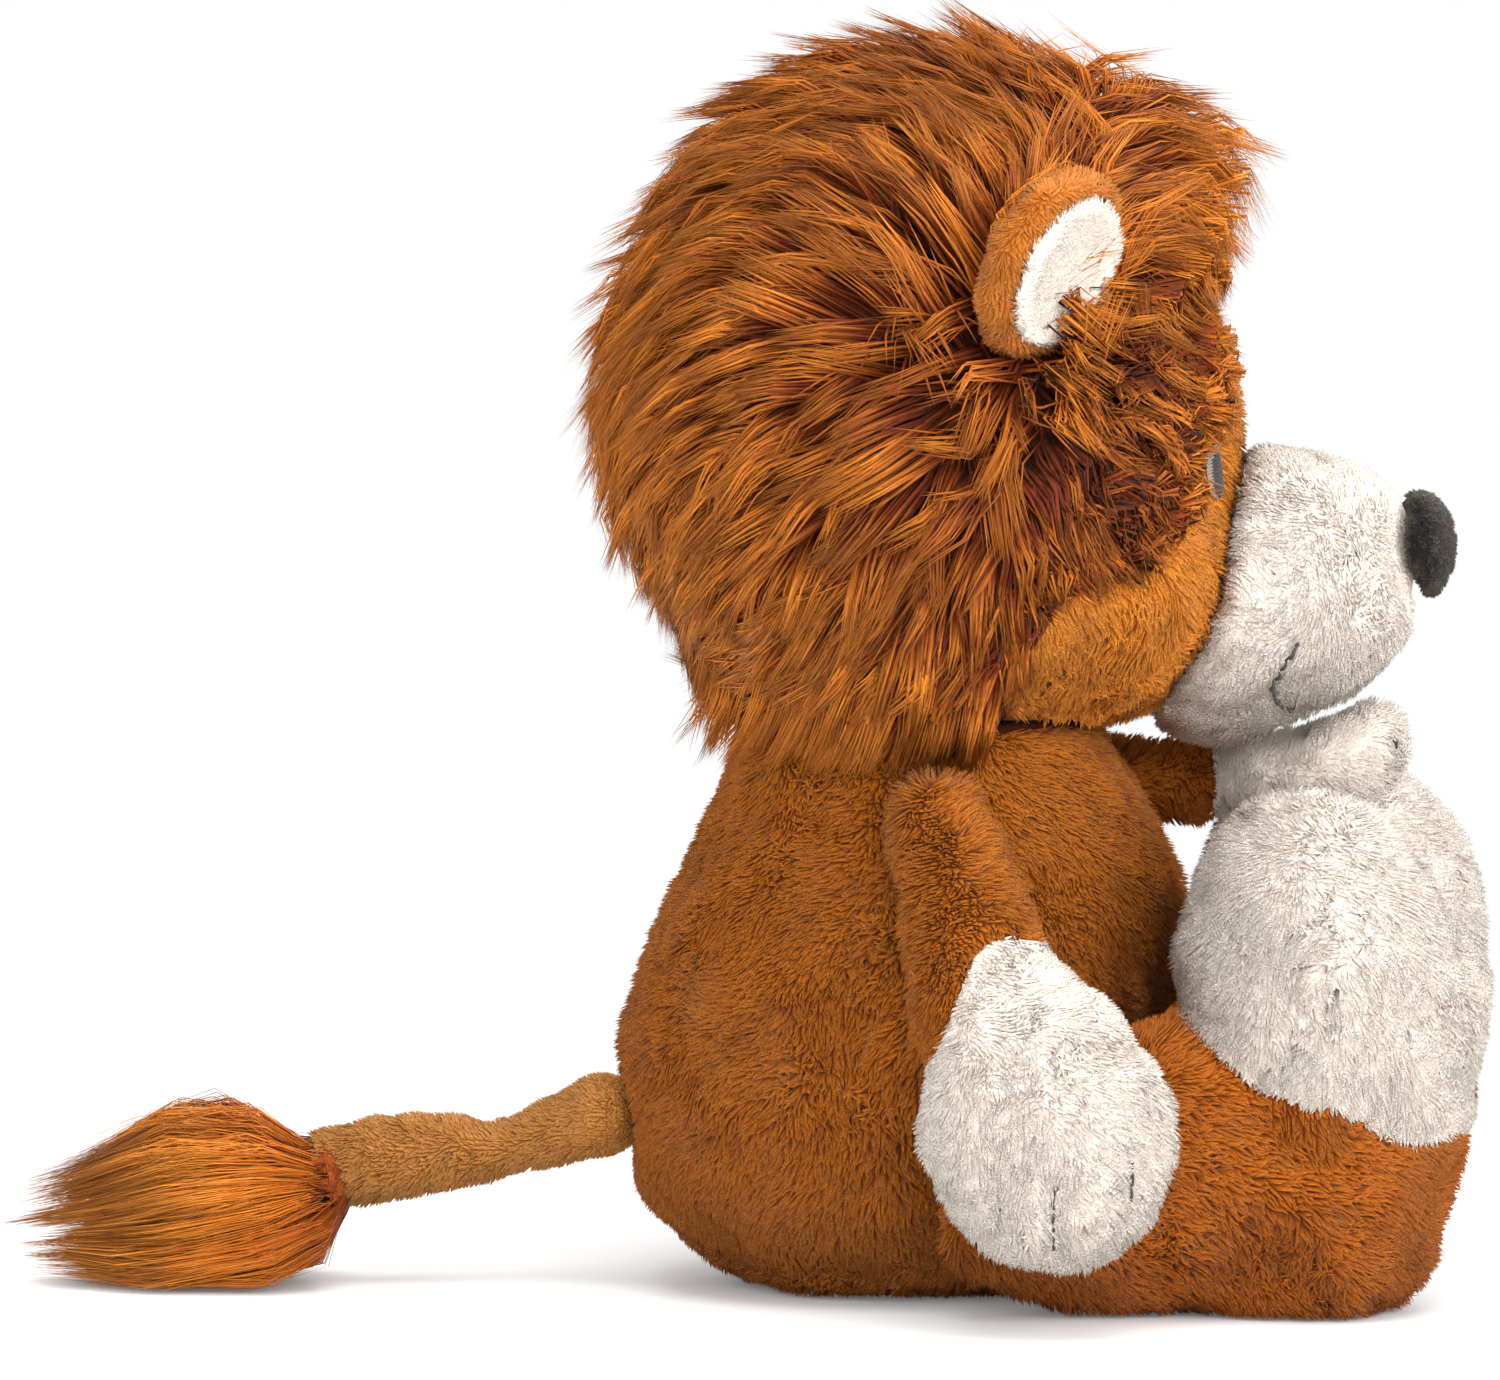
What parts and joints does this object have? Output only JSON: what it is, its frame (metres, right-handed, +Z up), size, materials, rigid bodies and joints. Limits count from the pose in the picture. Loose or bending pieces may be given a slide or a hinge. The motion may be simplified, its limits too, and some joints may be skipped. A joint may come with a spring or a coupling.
{
  "type": "plush lion",
  "caption": "Sitting plush lion with a long-haired mane, turning head, white muzzle and paws, swinging arms and legs, and a tufted tail.",
  "frame": {"origin": "on the floor under the middle of the torso's seat", "axes": "+X out of the face, +Y towards the lion's left side, +Z up"},
  "size_m": [0.2985, 0.1786, 0.255],
  "materials": {
    "brown_plush": "matte",
    "mane_fur": "matte",
    "gold_plush": "matte",
    "ear_plush": "matte",
    "tail_plush": "matte",
    "cream_plush": "matte",
    "white_plush": "matte",
    "nose_plush": "matte",
    "eye_thread": "satin",
    "black_thread": "satin",
    "filling": "matte",
    "bag_cloth": "matte"
  },
  "bodies": {
    "torso": {"torso_cover": "brown_plush", "torso_filling": "filling", "seat_pellet_bag": "bag_cloth"},
    "head": {"face_cover": "gold_plush", "mane": "mane_fur", "head_filling": "filling", "ear_back_right": "ear_plush", "ear_lining_right": "cream_plush", "ear_back_left": "ear_plush", "ear_lining_left": "cream_plush", "muzzle_cover": "cream_plush", "muzzle_filling": "filling", "nose": "nose_plush", "mouth_stitch": "black_thread", "eye_right": "eye_thread", "pupil_right": "black_thread", "eye_left": "eye_thread", "pupil_left": "black_thread"},
    "arm_right": {"sleeve_right": "brown_plush", "paw_right": "white_plush", "arm_filling_right": "filling", "paw_stitch_front_right": "black_thread", "paw_stitch_back_right": "black_thread"},
    "arm_left": {"sleeve_left": "brown_plush", "paw_left": "white_plush", "arm_filling_left": "filling", "paw_stitch_front_left": "black_thread", "paw_stitch_back_left": "black_thread"},
    "leg_right": {"leg_cover_right": "brown_plush", "foot_cover_right": "white_plush", "leg_filling_right": "filling", "foot_stitch_inner_right": "black_thread", "foot_stitch_outer_right": "black_thread"},
    "leg_left": {"leg_cover_left": "brown_plush", "foot_cover_left": "white_plush", "leg_filling_left": "filling", "foot_stitch_inner_left": "black_thread", "foot_stitch_outer_left": "black_thread"},
    "tail": {"tail_cover": "tail_plush", "tail_filling": "filling", "tail_tuft": "mane_fur"}
  },
  "joints": [
    {"name": "head_turn", "type": "hinge", "parent": "torso", "child": "head", "pos_m": [0.005, 0, 0.116], "axis": [0, 0, 1], "range_deg": [-20, 20], "stiffness_Nm_per_rad": 0.03},
    {"name": "shoulder_right", "type": "hinge", "parent": "torso", "child": "arm_right", "pos_m": [0.007, -0.047, 0.098], "axis": [-1, 0, 0], "range_deg": [0, 45]},
    {"name": "shoulder_left", "type": "hinge", "parent": "torso", "child": "arm_left", "pos_m": [0.007, 0.047, 0.098], "axis": [-0.2315, -0.5126, 0.8268], "range_deg": [0, 70]},
    {"name": "hip_right", "type": "hinge", "parent": "torso", "child": "leg_right", "pos_m": [0.024, -0.054, 0.024], "axis": [0, 1, 0], "range_deg": [0, 65]},
    {"name": "hip_left", "type": "hinge", "parent": "torso", "child": "leg_left", "pos_m": [0.024, 0.054, 0.024], "axis": [0, 1, 0], "range_deg": [0, 65]},
    {"name": "tail_wag", "type": "hinge", "parent": "torso", "child": "tail", "pos_m": [-0.0595, 0, 0.034], "axis": [0, 0, 1], "range_deg": [-50, 50]}
  ]
}
